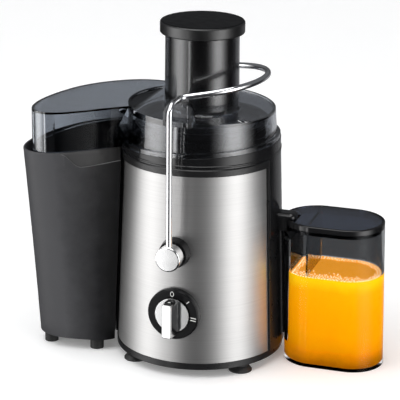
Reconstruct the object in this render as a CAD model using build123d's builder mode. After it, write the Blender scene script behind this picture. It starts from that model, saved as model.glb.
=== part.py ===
"""Centrifugal juicer: motor base, rotating filter basket, clear lid with feed
chute and pulp cover, locking bail, speed knob, pulp bin and lidded juice jug.
Millimetres, +Z up, floor at z = 0, front (knob) towards -Y, jug towards +X."""
import math
import os
from build123d import *

os.makedirs("parts", exist_ok=True)

# ---------------------------------------------------------------- dimensions
AX = -11.28           # motor axis in X, so that the whole object is centred
Z_PLATE = 8.8         # underside of the base plate (height of the feet)
Z_BODY = 15.0         # lower edge of the steel wrap
Z_NECK = 201.1        # upper edge of the steel wrap
R_BODY = 81.95        # steel wrap radius at its lower edge
R_NECK = 75.35        # steel wrap radius at its upper edge
PROUD = 2.0           # black housing stands proud of the steel
WRAP_DEG = 73.0       # half angle of the steel wrap, from the front
T_STEEL = 0.8
T_WALL = 2.5
Z_DECK = 160.0        # underside of the deck that carries the collector
Z_COLLAR = 208.2      # upper face of the black collar
Z_RING = 218.0        # parting plane of lid and collector, on the motor axis
RING_SLOPE = 0.044    # the parting plane drops towards the pulp bin
Z_LID = 250.15        # lid top on the motor axis
LID_SLOPE = 0.0343    # the lid top drops towards the jug
R_LID = 70.6          # lid radius at its top
R_LID_LOW = 73.6      # lid radius at its flange
Z_COVER = 252.0       # top of the pulp cover
Z_SKIRT = 212.4       # lower edge of the pulp cover
Z_RIM = 212.0         # rim of the pulp bin
Z_BIN = 11.0          # underside of the pulp bin
R_CHUTE = 35.5        # feed chute outside
R_FEED = 33.0         # feed chute inside
Z_CHUTE = 322.0       # top of the feed chute
R_PUSH = 32.5
R_CAP = 40.6
Z_CAP = 334.4
Z_KNOB = 65.0
Z_BAIL = 126.0        # height of the bail's pivot
Y_LEG = 96.0          # bail legs in front of and behind the axis
R_WIRE = 2.9
Z_WIRE = 274.0        # bail height where it crosses the lid
R_SHAFT = 4.0
R_GAP = 79.2          # inner wall of the pulp bin around the body, at its rim
R_GAP_LOW = 85.6      # and at its floor
JUG_Y = 14.6          # jug centre line
SPOUT_Y = 3.0         # spout centre line
Z_JUG = 140.0         # rim of the jug
T_BIN = 2.2


def steel_r(z):
    return R_BODY + (R_NECK - R_BODY) * (z - Z_BODY) / (Z_NECK - Z_BODY)


def black_r(z):
    return steel_r(z) + PROUD


def level(z, x=0.0, y=0.0):
    """Horizontal work plane, measured from the motor axis."""
    return Plane((AX + x, y, z))


def radial(deg):
    """Upright work plane through the motor axis: local x is the radius."""
    a = math.radians(deg)
    return Plane((AX, 0, 0), x_dir=(math.cos(a), math.sin(a), 0), z_dir=(math.sin(a), -math.cos(a), 0))


def upright(y, z, x=0.0, front=True):
    """Work plane facing the front (or the back), at the given place."""
    return Plane((AX + x, y, z), x_dir=(1, 0, 0) if front else (-1, 0, 0), z_dir=(0, -1, 0) if front else (0, 1, 0))


SPIN = Axis((AX, 0, 0), (0, 0, 1))


def turned(*pts, start=0.0, arc=360.0, mode=Mode.ADD):
    """Turn a closed section of (radius, height) points about the motor axis."""
    with BuildSketch(radial(start)) as section:
        with BuildLine():
            Polyline(*pts, close=True)
        make_face()
    revolve(section.sketch, axis=SPIN, revolution_arc=arc, mode=mode)


def inset(pts, d):
    """Points moved inward (to the left of the running direction) by d."""
    out = []
    for i, p in enumerate(pts):
        a = pts[max(i - 1, 0)]
        b = pts[min(i + 1, len(pts) - 1)]
        tx, ty = b[0] - a[0], b[1] - a[1]
        n = math.hypot(tx, ty)
        out.append((p[0] + ty / n * d, p[1] - tx / n * d))
    return out


# plan of the pulp cover, from the front junction round to the back junction
COVER = [(-54, -27), (-62, -34), (-70, -40.5), (-78, -47), (-86, -54), (-94, -61.5), (-102, -68), (-110, -74),
         (-118, -79), (-126, -81.8), (-134, -82), (-141, -79.3), (-147, -71.5), (-150, -61), (-151, -50),
         (-150.5, -37), (-148, -22), (-144, -6.5), (-139, 8), (-133, 21), (-126, 32), (-118, 42), (-108, 51.5),
         (-97, 59.5), (-86, 65), (-75, 68), (-62, 68.5), (-48, 65.5), (-35, 57)]
# rim of the pulp bin, same direction
RIM = [(-67.9, -41.2), (-80, -50.5), (-87.5, -57), (-95, -64), (-103, -70.5), (-111, -76.3), (-119, -81),
       (-127, -83.8), (-136, -84.2), (-145, -82.2), (-153, -76.5), (-158, -68), (-160.5, -57), (-161, -44),
       (-159.5, -28), (-156, -12), (-151, 3), (-145, 17.5), (-138, 30.5), (-129, 42), (-119, 51.5),
       (-107, 60), (-95, 66), (-83, 70), (-72, 71.5)]
# floor edge of the pulp bin, same direction and the same number of points
FOOT = [(-77.2, -38.2), (-85, -45), (-92, -47.6), (-98, -49), (-104, -50), (-110, -51), (-116, -51.8), (-123, -52.2),
        (-131, -52), (-139, -50.3), (-147, -46.8), (-153, -42), (-157, -35.5), (-158.6, -27), (-158, -15),
        (-155.5, -3), (-151, 9), (-145, 20), (-138, 30), (-129, 39), (-119, 46.5), (-108, 52.5), (-97, 56.5),
        (-87, 58.6), (-77, 58.5)]


def bin_plan(z, pts, r):
    """Closed outline: outer wall, back tip, wall round the body, front tip."""
    a, b = pts[0], pts[-1]
    na, nb = math.hypot(*a), math.hypot(*b)
    e = (b[0] * r / nb, b[1] * r / nb)
    s = (a[0] * r / na, a[1] * r / na)
    m = math.radians((math.degrees(math.atan2(e[1], e[0])) + math.degrees(math.atan2(s[1], s[0])) + 360) / 2)
    with BuildSketch(level(z)) as plan:
        with BuildLine():
            Spline(*pts)
            Line(b, e)
            ThreePointArc(e, (r * math.cos(m), r * math.sin(m)), s)
            Line(s, a)
        make_face()
    return plan.sketch


def slot(z, cx, length, width):
    """Round-ended outline on the jug's centre line."""
    with BuildSketch(level(z, cx, JUG_Y)) as plan:
        SlotOverall(length, width)
    return plan.sketch


# ------------------------------------------------------------- base and body
with BuildPart() as base_plate:
    turned((0, Z_PLATE), (82.5, Z_PLATE), (82.6, Z_BODY - 0.2), (78.6, Z_BODY - 0.2), (78.6, 12), (0, 12))
    with BuildSketch(level(Z_PLATE)):
        with PolarLocations(34, 10):
            SlotOverall(16, 4)
    extrude(amount=3.2, mode=Mode.SUBTRACT)
base_plate.part.label = "base_plate"
export_step(base_plate.part, "parts/base_plate.step")

FEET = [(56, -44), (-50, -50), (-56, 44), (56, 44)]
with BuildPart() as base_feet:
    for fx, fy in FEET:
        with BuildSketch(Plane((AX + fx, fy, 0), x_dir=(1, 0, 0), z_dir=(0, -1, 0))):
            with BuildLine():
                Polyline((0, 1.6), (7, 1.6), (10.4, 0), (11.4, 0), (11.4, 1.2), (8.6, 4.4), (7.4, 5.4),
                         (7.4, Z_PLATE), (0, Z_PLATE), close=True)
            make_face()
        revolve(axis=Axis((AX + fx, fy, 0), (0, 0, 1)))
base_feet.part.label = "base_feet"
export_step(base_feet.part, "parts/base_feet.step")

SCREWS = [(74.6 * math.cos(math.radians(a)), 74.6 * math.sin(math.radians(a))) for a in (0, 112, 180, 270)]
with BuildPart() as base_screws:
    for sx, sy in SCREWS:
        with BuildSketch(level(Z_PLATE - 1.8, sx, sy)):
            Circle(3.6)
        extrude(amount=1.8)
        with BuildSketch(level(Z_PLATE - 1.8, sx, sy)):
            SlotOverall(4.6, 1.1)
        extrude(amount=1.0, mode=Mode.SUBTRACT)
base_screws.part.label = "base_screws"
export_step(base_screws.part, "parts/base_screws.step")

A0 = -90 - WRAP_DEG
with BuildPart() as motor_housing:
    turned((0, Z_BODY), (black_r(Z_BODY), Z_BODY), (black_r(Z_NECK), Z_NECK), (0, Z_NECK))
    # recess for the steel wrap
    turned((steel_r(Z_BODY) - T_STEEL - 0.1, Z_BODY), (90, Z_BODY), (90, Z_NECK), (steel_r(Z_NECK) - T_STEEL - 0.1, Z_NECK),
           start=A0, arc=2 * WRAP_DEG, mode=Mode.SUBTRACT)
    # motor space below the deck and the well above it
    turned((0, Z_BODY), (steel_r(Z_BODY) - T_WALL - 1, Z_BODY), (steel_r(Z_DECK) - T_WALL - 1, Z_DECK), (0, Z_DECK),
           mode=Mode.SUBTRACT)
    turned((0, Z_DECK + 3), (73.0, Z_DECK + 3), (73.0, Z_NECK), (0, Z_NECK), mode=Mode.SUBTRACT)
    # shaft opening
    turned((0, Z_DECK), (9, Z_DECK), (9, Z_DECK + 3), (0, Z_DECK + 3), mode=Mode.SUBTRACT)
    # slot for the collector's apron and duct, open at the top
    with BuildSketch(level(128.0, 75, SPOUT_Y)):
        Rectangle(60, 47)
    extrude(amount=80, mode=Mode.SUBTRACT)
    # knob and bail openings
    with BuildSketch(upright(-60, Z_KNOB)):
        Circle(9)
    extrude(amount=40, mode=Mode.SUBTRACT)
    with BuildSketch(upright(-60, Z_BAIL)):
        Circle(R_SHAFT)
    extrude(amount=40, mode=Mode.SUBTRACT)
    with BuildSketch(upright(60, Z_BAIL, front=False)):
        Circle(R_SHAFT)
    extrude(amount=40, mode=Mode.SUBTRACT)
    # cord inlet
    with BuildSketch(upright(60, 28, front=False)):
        Circle(6)
    extrude(amount=40, mode=Mode.SUBTRACT)
    # louvred air outlets at the back
    with BuildSketch(upright(60, 60, front=False)):
        with GridLocations(0, 7, 1, 6):
            SlotOverall(44, 3)
    extrude(amount=40, mode=Mode.SUBTRACT)
    # screw bosses
    for sx, sy in SCREWS:
        with BuildSketch(level(Z_BODY, sx, sy)):
            Circle(5)
        extrude(amount=10)
    # ribs that hold the motor's upper bracket
    for a in (45, 135, 225, 315):
        with BuildSketch(radial(a)):
            with BuildLine():
                Polyline((58, 147.4), (steel_r(150) - T_WALL, 147.4), (steel_r(150) - T_WALL, Z_DECK), (58, Z_DECK), close=True)
            make_face()
        extrude(amount=5, both=True)
motor_housing.part.label = "motor_housing"
export_step(motor_housing.part, "parts/motor_housing.step")

with BuildPart() as steel_wrap:
    turned((steel_r(Z_BODY) - T_STEEL, Z_BODY + 0.1), (steel_r(Z_BODY), Z_BODY + 0.1), (steel_r(Z_NECK), Z_NECK - 0.1),
           (steel_r(Z_NECK) - T_STEEL, Z_NECK - 0.1), start=A0 + 0.25, arc=2 * WRAP_DEG - 0.5)
    with BuildSketch(upright(-60, Z_KNOB)):
        Circle(9)
    extrude(amount=40, mode=Mode.SUBTRACT)
    with BuildSketch(upright(-60, Z_BAIL)):
        Circle(R_SHAFT)
    extrude(amount=40, mode=Mode.SUBTRACT)
steel_wrap.part.label = "steel_wrap"
export_step(steel_wrap.part, "parts/steel_wrap.step")

with BuildPart() as top_collar:
    turned((73.0, Z_NECK), (black_r(Z_NECK), Z_NECK), (77.6, Z_COLLAR - 1.2), (76.6, Z_COLLAR), (73.0, Z_COLLAR))
    with BuildSketch(level(Z_NECK - 1, 75, SPOUT_Y)):
        Rectangle(60, 47)
    extrude(amount=20, mode=Mode.SUBTRACT)
top_collar.part.label = "top_collar"
export_step(top_collar.part, "parts/top_collar.step")

with BuildPart() as cord_gland:
    with BuildSketch(upright(72, 28, front=False)):
        Circle(6)
        Circle(3.2, mode=Mode.SUBTRACT)
    extrude(amount=14)
    with BuildSketch(upright(84.4, 28, front=False)):
        Circle(9)
        Circle(3.2, mode=Mode.SUBTRACT)
    extrude(amount=5)
cord_gland.part.label = "cord_gland"
export_step(cord_gland.part, "parts/cord_gland.step")

# ------------------------------------------------------------------- motor
with BuildPart() as stator_core:
    with BuildSketch(level(64)):
        RectangleRounded(84, 76, 14)
        Circle(25.2, mode=Mode.SUBTRACT)
        with GridLocations(62, 0, 2, 1):
            SlotOverall(30, 9, rotation=90, mode=Mode.SUBTRACT)
        with GridLocations(66, 60, 2, 2):
            Circle(2.2, mode=Mode.SUBTRACT)
    extrude(amount=40)
stator_core.part.label = "stator_core"
export_step(stator_core.part, "parts/stator_core.step")

with BuildPart() as field_coils:
    for z in (55, 104):
        with BuildSketch(level(z)):
            RectangleRounded(66, 58, 12)
            Circle(25.2, mode=Mode.SUBTRACT)
            Rectangle(8, 80, mode=Mode.SUBTRACT)
        extrude(amount=9)
field_coils.part.label = "field_coils"
export_step(field_coils.part, "parts/field_coils.step")

BOLTS = [(33, 30), (-33, 30), (-33, -30), (33, -30)]
with BuildPart() as lower_bracket:
    with BuildSketch(level(24)):
        RectangleRounded(80, 74, 12)
        Circle(8.0, mode=Mode.SUBTRACT)
        with Locations((26, 0), (-26, 0), (0, 26), (0, -26)):
            Circle(6, mode=Mode.SUBTRACT)
    extrude(amount=3)
    turned((8.0, 24), (11, 24), (11, 34), (8.0, 34))
    for bx, by in BOLTS:
        with BuildSketch(level(27, bx, by)):
            Circle(5)
            Circle(2.2, mode=Mode.SUBTRACT)
        extrude(amount=37)
        with BuildSketch(level(24, bx, by)):
            Circle(2.2)
        extrude(amount=3, mode=Mode.SUBTRACT)
lower_bracket.part.label = "lower_bracket"
export_step(lower_bracket.part, "parts/lower_bracket.step")

with BuildPart() as upper_bracket:
    with BuildSketch(level(140)):
        Circle(44)
        Circle(8.0, mode=Mode.SUBTRACT)
        with PolarLocations(26, 4):
            Circle(8, mode=Mode.SUBTRACT)
    extrude(amount=3)
    turned((8.0, 134), (11, 134), (11, 140), (8.0, 140))
    for bx, by in BOLTS:
        with BuildSketch(level(104, bx, by)):
            Circle(5)
            Circle(2.2, mode=Mode.SUBTRACT)
        extrude(amount=36)
    for a in (45, 135, 225, 315):
        with BuildSketch(radial(a)):
            with BuildLine():
                Polyline((40, 140), (66, 140), (66, 143), (40, 143), close=True)
            make_face()
        extrude(amount=6, both=True)
    for bx, by in BOLTS:
        with BuildSketch(level(138, bx, by)):
            Circle(2.2)
        extrude(amount=8, mode=Mode.SUBTRACT)
upper_bracket.part.label = "upper_bracket"
export_step(upper_bracket.part, "parts/upper_bracket.step")

with BuildPart() as motor_bolts:
    for bx, by in BOLTS:
        with BuildSketch(level(21, bx, by)):
            Circle(4.2)
        extrude(amount=3)
        with BuildSketch(level(24, bx, by)):
            Circle(2.1)
        extrude(amount=119)
motor_bolts.part.label = "motor_bolts"
export_step(motor_bolts.part, "parts/motor_bolts.step")

with BuildPart() as motor_dampers:
    for a in (45, 135, 225, 315):
        with BuildSketch(radial(a)):
            with BuildLine():
                Polyline((58.5, 143), (65.5, 143), (65.5, 147.4), (58.5, 147.4), close=True)
            make_face()
        extrude(amount=4.5, both=True)
motor_dampers.part.label = "motor_dampers"
export_step(motor_dampers.part, "parts/motor_dampers.step")

with BuildPart() as motor_bearings:
    turned((R_SHAFT + 0.04, 25), (8.0, 25), (8.0, 33), (R_SHAFT + 0.04, 33))
    turned((R_SHAFT + 0.04, 134), (8.0, 134), (8.0, 142), (R_SHAFT + 0.04, 142))
motor_bearings.part.label = "motor_bearings"
export_step(motor_bearings.part, "parts/motor_bearings.step")

with BuildPart() as brush_holders:
    for side in (1, -1):
        with BuildSketch(upright(-5, 47, 22.5 * side)):
            Rectangle(17, 12)
            Rectangle(17, 7, mode=Mode.SUBTRACT)
        extrude(amount=-10)
        with BuildSketch(level(27, 24 * side)):
            Rectangle(10, 10)
        extrude(amount=14)
brush_holders.part.label = "brush_holders"
export_step(brush_holders.part, "parts/brush_holders.step")

with BuildPart() as carbon_brushes:
    for side in (1, -1):
        with BuildSketch(upright(-4, 47, 20.4 * side)):
            Rectangle(18, 6.8)
        extrude(amount=-8)
carbon_brushes.part.label = "carbon_brushes"
export_step(carbon_brushes.part, "parts/carbon_brushes.step")

with BuildPart() as shaft_seal:
    turned((R_SHAFT + 0.06, Z_DECK - 1.5), (12, Z_DECK - 1.5), (12, Z_DECK), (9, Z_DECK), (9, Z_DECK + 3), (12, Z_DECK + 3),
           (8, Z_DECK + 6), (R_SHAFT + 0.06, Z_DECK + 7))
shaft_seal.part.label = "shaft_seal"
export_step(shaft_seal.part, "parts/shaft_seal.step")

with BuildPart() as speed_switch:
    with BuildSketch(upright(-50, Z_KNOB)):
        RectangleRounded(26, 26, 3)
    extrude(amount=20)
    with BuildSketch(upright(-70, Z_KNOB)):
        Circle(8.8)
        Circle(3.05, mode=Mode.SUBTRACT)
    extrude(amount=10.0)
    with BuildSketch(upright(-56, Z_KNOB)):
        Circle(3.05)
    extrude(amount=30, mode=Mode.SUBTRACT)
    with BuildSketch(upright(-47, Z_KNOB)):
        with GridLocations(8, 8, 2, 2):
            Rectangle(1, 4)
    extrude(amount=4)
speed_switch.part.label = "speed_switch"
export_step(speed_switch.part, "parts/speed_switch.step")

with BuildPart() as safety_switch:
    with BuildSketch(upright(-56, Z_BAIL - 22)):
        RectangleRounded(20, 10, 1)
    extrude(amount=8)
    with BuildSketch(level(Z_BAIL - 17, 4, -60)):
        Rectangle(3, 4)
    extrude(amount=1.5)
safety_switch.part.label = "safety_switch"
export_step(safety_switch.part, "parts/safety_switch.step")

# --------------------------------------------------------- rotating assembly
with BuildPart() as motor_shaft:
    turned((0, 20), (R_SHAFT, 20), (R_SHAFT, 206), (0, 206))
motor_shaft.part.label = "motor_shaft"
export_step(motor_shaft.part, "parts/motor_shaft.step")

with BuildPart() as armature_core:
    with BuildSketch(level(64)):
        Circle(24.6)
        Circle(R_SHAFT, mode=Mode.SUBTRACT)
        with PolarLocations(23.4, 12):
            SlotOverall(6.4, 2.6, mode=Mode.SUBTRACT)
    extrude(amount=40)
armature_core.part.label = "armature_core"
export_step(armature_core.part, "parts/armature_core.step")

with BuildPart() as armature_windings:
    turned((R_SHAFT, 56), (15, 56), (19, 58), (19, 63.9), (R_SHAFT, 63.9))
    turned((R_SHAFT, 104.1), (19, 104.1), (19, 110), (15, 112), (R_SHAFT, 112))
armature_windings.part.label = "armature_windings"
export_step(armature_windings.part, "parts/armature_windings.step")

with BuildPart() as commutator:
    with BuildSketch(level(40)):
        Circle(11)
        Circle(R_SHAFT, mode=Mode.SUBTRACT)
        with PolarLocations(10.6, 24):
            Rectangle(1.6, 0.5, mode=Mode.SUBTRACT)
    extrude(amount=14)
commutator.part.label = "commutator"
export_step(commutator.part, "parts/commutator.step")

with BuildPart() as cooling_fan:
    turned((R_SHAFT, 117), (9, 117), (9, 129), (R_SHAFT, 129))
    turned((8.8, 117), (23, 117), (23, 118.6), (8.8, 118.6))
    with BuildSketch(level(118.4)):
        with PolarLocations(15.6, 9):
            Rectangle(14.4, 1.4, rotation=24)
    extrude(amount=9)
cooling_fan.part.label = "cooling_fan"
export_step(cooling_fan.part, "parts/cooling_fan.step")

with BuildPart() as drive_coupling:
    turned((R_SHAFT, 190), (11, 190), (12.4, 192), (12.4, 199), (R_SHAFT, 199))
    with BuildSketch(level(199)):
        Circle(9)
        Circle(R_SHAFT, mode=Mode.SUBTRACT)
        with PolarLocations(9.4, 6):
            Circle(1.6, mode=Mode.SUBTRACT)
    extrude(amount=5)
drive_coupling.part.label = "drive_coupling"
export_step(drive_coupling.part, "parts/drive_coupling.step")

with BuildPart() as basket_frame:
    turned((9.3, 199.2), (30, 199.2), (34, 202), (34, 204.2), (9.3, 204.2))
    turned((54.9, 232.5), (61.4, 232.5), (63.5, 235), (63.5, 238.4), (58.2, 238.4), (54.9, 236))
    for k in range(8):
        with BuildSketch(radial(45 * k)):
            with BuildLine():
                Polyline((32.4, 203), (33.9, 203), (60.2, 233.5), (58.4, 233.5), close=True)
            make_face()
        extrude(amount=1.6, both=True)
basket_frame.part.label = "basket_frame"
export_step(basket_frame.part, "parts/basket_frame.step")

with BuildPart() as filter_mesh:
    turned((31.2, 204.4), (31.9, 204.4), (56.1, 232.4), (54.9, 232.4))
filter_mesh.part.label = "filter_mesh"
export_step(filter_mesh.part, "parts/filter_mesh.step")

with BuildPart() as grater_disc:
    turned((0, 206.2), (R_SHAFT, 206.2), (R_SHAFT, 204.3), (31.0, 204.3), (31.0, 205.5), (9, 205.5), (7, 208), (4, 209.5), (0, 210))
    for ring_r, ring_n in ((12.5, 12), (16.5, 18), (20.5, 22), (24.5, 26), (28.5, 30)):
        with BuildSketch(level(205.4)):
            with PolarLocations(ring_r, ring_n):
                RegularPolygon(1.1, 3)
        extrude(amount=1.5, taper=25)
grater_disc.part.label = "grater_disc"
export_step(grater_disc.part, "parts/grater_disc.step")

# ----------------------------------------------------------- juice collector
RING_PLANE = Plane((AX, 0, Z_RING), x_dir=(1, 0, RING_SLOPE), z_dir=(-RING_SLOPE, 0, 1))

# hollow of the spout: channel with a floor, then a mouth that opens downwards
with BuildPart() as spout_way:
    with BuildSketch(level(133, 80.5, SPOUT_Y)):
        Rectangle(29, 14)
    extrude(amount=14.4)
    fillet(spout_way.edges().filter_by(Axis.Z).group_by(Axis.X)[-1], radius=4)
    fillet(spout_way.faces().sort_by(Axis.Z)[-1].edges(), radius=3)
    with BuildSketch(level(132, 74, SPOUT_Y)):
        Rectangle(20, 16)
    extrude(amount=6.6, mode=Mode.SUBTRACT)

with BuildPart() as juice_collector:
    # bowl: floor, hub, wall and the ring that carries the lid
    turned((14, 174), (72.6, 174), (72.6, Z_COLLAR), (76.9, Z_COLLAR), (76.9, 230), (70.0, 230), (70.0, 177), (17, 177),
           (17, 188), (14, 188))
    split(bisect_by=RING_PLANE, keep=Keep.BOTTOM)
    # bead round the ring
    turned((76.5, 209.4), (77.6, 210.2), (77.6, 211.2), (76.5, 212))
    # duct from the bowl's floor down to the spout
    with BuildSketch(level(133.0, 68.25, SPOUT_Y)):
        Rectangle(13.5, 36)
    extrude(amount=42)
    # apron that closes the slot in the housing
    with BuildSketch(radial(-40)):
        with BuildLine():
            Polyline((black_r(128.6) - 4, 128.6), (black_r(128.6), 128.6), (black_r(Z_COLLAR), Z_COLLAR + 0.2),
                     (black_r(Z_COLLAR) - 4, Z_COLLAR + 0.2), close=True)
        make_face()
    revolve(axis=SPIN, revolution_arc=80)
    for y0 in (SPOUT_Y + 23.2 + 30, SPOUT_Y - 23.2 - 30):
        with BuildSketch(level(120, 85, y0)):
            Rectangle(60, 60)
        extrude(amount=Z_COLLAR - 120, mode=Mode.SUBTRACT)
    # way for the juice: floor outlet, duct and outlet to the spout
    with BuildSketch(level(139, 67.0, SPOUT_Y)):
        Rectangle(5.6, 30)
    extrude(amount=38.5, mode=Mode.SUBTRACT)
    add(spout_way.part, mode=Mode.SUBTRACT)
juice_collector.part.label = "juice_collector"
export_step(juice_collector.part, "parts/juice_collector.step")

# spout: round-ended hood on the apron, open below at its end
with BuildPart() as juice_spout:
    with BuildSketch(level(133.6, 83.5, SPOUT_Y)):
        Rectangle(27, 18)
    extrude(amount=17.2)
    fillet(juice_spout.edges().filter_by(Axis.Z).group_by(Axis.X)[-1], radius=6)
    fillet(juice_spout.faces().sort_by(Axis.Z)[-1].edges(), radius=4.8)
    add(spout_way.part, mode=Mode.SUBTRACT)
    turned((0, 125), (black_r(125) + 0.06, 125), (black_r(158) + 0.06, 158), (0, 158), mode=Mode.SUBTRACT)
juice_spout.part.label = "juice_spout"
export_step(juice_spout.part, "parts/juice_spout.step")

# ----------------------------------------------------------------------- lid
LID_PLANE = Plane((AX, 0, Z_LID), x_dir=(1, 0, -LID_SLOPE), z_dir=(LID_SLOPE, 0, 1))
LID_EDGE = Plane((AX, 0, Z_LID + 1.2), x_dir=(1, 0, -LID_SLOPE), z_dir=(LID_SLOPE, 0, 1))


def cover_plan(z, pts):
    """Closed outline of the pulp cover, ending inside the drum."""
    with BuildSketch(level(z)) as plan:
        with BuildLine():
            edge = Spline(*pts)
            Line(edge @ 1, edge @ 0)
        make_face()
    return plan.sketch


with BuildPart() as lid:
    # drum with a sloping top
    turned((0, 212), (R_LID_LOW, 212), (R_LID, 258), (0, 258))
    split(bisect_by=LID_EDGE, keep=Keep.BOTTOM)
    # pulp cover
    extrude(cover_plan(Z_SKIRT, COVER), amount=Z_COVER - Z_SKIRT)
    # the drum's top lies inside a raised edge
    with BuildSketch(LID_PLANE):
        Circle(68.6)
    extrude(amount=8, mode=Mode.SUBTRACT)
    # flange that rests on the collector
    with BuildSketch(RING_PLANE):
        Circle(76.4)
    extrude(amount=4.2)
    # hollow inside
    extrude(cover_plan(Z_SKIRT, inset(COVER, T_WALL)), amount=Z_COVER - T_WALL - Z_SKIRT, mode=Mode.SUBTRACT)
    turned((0, 205), (R_LID_LOW - T_WALL, 205), (R_LID_LOW - T_WALL, 212), (R_LID - T_WALL, 246.2), (0, 246.2), mode=Mode.SUBTRACT)
    # everything below the parting plane inside the flange
    with BuildSketch(RING_PLANE):
        Circle(78)
    extrude(amount=-20, mode=Mode.SUBTRACT)
    # skirt and floor of the cover outside the flange
    extrude(cover_plan(Z_SKIRT, COVER), amount=12)
    extrude(cover_plan(Z_SKIRT, inset(COVER, T_WALL)), amount=12, mode=Mode.SUBTRACT)
    turned((0, 205), (R_LID_LOW - T_WALL, 205), (R_LID_LOW - T_WALL, 230), (0, 230), mode=Mode.SUBTRACT)
    with BuildSketch(RING_PLANE):
        Circle(77.6)
    extrude(amount=-20, mode=Mode.SUBTRACT)
    with BuildSketch(level(218.4)):
        with BuildLine():
            edge = Spline(*inset(COVER, 1.0))
            Line(edge @ 1, edge @ 0)
        make_face()
        Circle(91, mode=Mode.INTERSECT)
        Circle(R_LID_LOW - T_WALL, mode=Mode.SUBTRACT)
    extrude(amount=2.4)
    # feed chute
    turned((R_FEED, 240), (R_CHUTE + 3, 240), (R_CHUTE + 3, 247), (R_CHUTE + 0.5, 252), (R_CHUTE, Z_CHUTE), (R_FEED, Z_CHUTE))
    turned((0, 230), (R_FEED, 230), (R_FEED, 330), (0, 330), mode=Mode.SUBTRACT)
    # arched seats for the bail, front and back
    for f in (True, False):
        with BuildSketch(upright(-62.5 if f else 62.5, 0, front=f)):
            with BuildLine():
                Polyline((-14, 247.6), (14, 247.6), (14, 262), (9, 269.6), (-9, 269.6), (-14, 262), close=True)
            make_face()
        extrude(amount=11)
        with BuildSketch(upright(-66 if f else 66, 0, front=f)):
            with BuildLine():
                Polyline((-11.4, 252.5), (11.4, 252.5), (11.4, 261), (7.6, 267), (-7.6, 267), (-11.4, 261), close=True)
            make_face()
        extrude(amount=20, mode=Mode.SUBTRACT)
lid.part.label = "lid"
export_step(lid.part, "parts/lid.step")

# -------------------------------------------------------------------- pusher
with BuildPart() as pusher_body:
    turned((0, 247), (R_PUSH - 1, 247), (R_PUSH, 248.5), (R_PUSH, Z_CHUTE + 0.4), (R_PUSH - 2.4, Z_CHUTE + 0.4),
           (R_PUSH - 2.4, 250), (0, 250))
pusher_body.part.label = "pusher_body"
export_step(pusher_body.part, "parts/pusher_body.step")

with BuildPart() as pusher_cap:
    turned((0, Z_CHUTE + 0.4), (R_CAP - 0.6, Z_CHUTE + 0.4), (R_CAP, Z_CHUTE + 1.2), (R_CAP, Z_CAP - 2.2), (R_CAP - 0.8, Z_CAP - 1.0),
           (R_CAP - 2.4, Z_CAP - 0.4), (20, Z_CAP - 0.1), (0, Z_CAP))
pusher_cap.part.label = "pusher_cap"
export_step(pusher_cap.part, "parts/pusher_cap.step")

# ---------------------------------------------------------------------- bail
with BuildPart() as bail_bushes:
    for f in (True, False):
        y0 = -steel_r(Z_BAIL) if f else black_r(Z_BAIL)
        with BuildSketch(upright(y0 + (1.0 if f else -1.0), Z_BAIL, front=f)):
            Circle(15)
        extrude(amount=(9.4 if f else 7.4), taper=8)
        turned((0, 100), (steel_r(100) if f else black_r(100), 100), (steel_r(150) if f else black_r(150), 150), (0, 150),
               start=(-130 if f else 50), arc=80, mode=Mode.SUBTRACT)
        with BuildSketch(upright(-60 if f else 60, Z_BAIL, front=f)):
            Circle(R_SHAFT)
        extrude(amount=50, mode=Mode.SUBTRACT)
bail_bushes.part.label = "bail_bushes"
export_step(bail_bushes.part, "parts/bail_bushes.step")

with BuildPart() as bail_pins:
    for f in (True, False):
        with BuildSketch(upright(-66 if f else 66, Z_BAIL, front=f)):
            Circle(R_SHAFT)
        extrude(amount=32.4)
        with BuildSketch(upright(-66 if f else 66, Z_BAIL, front=f)):
            Circle(8)
        extrude(amount=4)
bail_pins.part.label = "bail_pins"
export_step(bail_pins.part, "parts/bail_pins.step")

TILT = math.atan(0.15)
EX, EZ = math.cos(TILT), math.sin(TILT)


def on_loop(s, y):
    return (AX + s * EX, y, Z_WIRE + s * EZ)


def loop_half(sign):
    """Corner points of one half of the bail, from the leg to the crown."""
    leg0 = (AX, -Y_LEG * sign, Z_BAIL + 11.0)
    leg1 = (AX, -Y_LEG * sign, Z_WIRE - 12)
    bend_m = (AX, (-Y_LEG + 12 - 12 * math.cos(math.pi / 4)) * sign, Z_WIRE - 12 + 12 * math.sin(math.pi / 4))
    bend_e = (AX, (-Y_LEG + 12) * sign, Z_WIRE)
    r = 10.0
    y0 = -73.6
    turn_s = on_loop(0, y0 * sign)
    a = math.radians(145)
    turn_m = on_loop(r + r * math.cos(a), (y0 + r * math.sin(a)) * sign)
    b = math.radians(110)
    turn_e = on_loop(r + r * math.cos(b), (y0 + r * math.sin(b)) * sign)
    arc_s = on_loop(1.7 + 62 * math.cos(math.radians(70)), -62 * math.sin(math.radians(70)) * sign)
    return leg0, leg1, bend_m, bend_e, turn_s, turn_m, turn_e, arc_s


with BuildPart() as bail_wire:
    f0, f1, f2, f3, f4, f5, f6, f7 = loop_half(1)
    b0, b1, b2, b3, b4, b5, b6, b7 = loop_half(-1)
    with BuildLine() as bail_path:
        Line(f0, f1)
        ThreePointArc(f1, f2, f3)
        Line(f3, f4)
        ThreePointArc(f4, f5, f6)
        Line(f6, f7)
        ThreePointArc(f7, on_loop(63.7, 0), b7)
        Line(b7, b6)
        ThreePointArc(b6, b5, b4)
        Line(b4, b3)
        ThreePointArc(b3, b2, b1)
        Line(b1, b0)
    with BuildSketch(Plane(f0, x_dir=(1, 0, 0), z_dir=(0, 0, 1))):
        Circle(R_WIRE)
    sweep(path=bail_path.line)
bail_wire.part.label = "bail_wire"
export_step(bail_wire.part, "parts/bail_wire.step")

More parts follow.
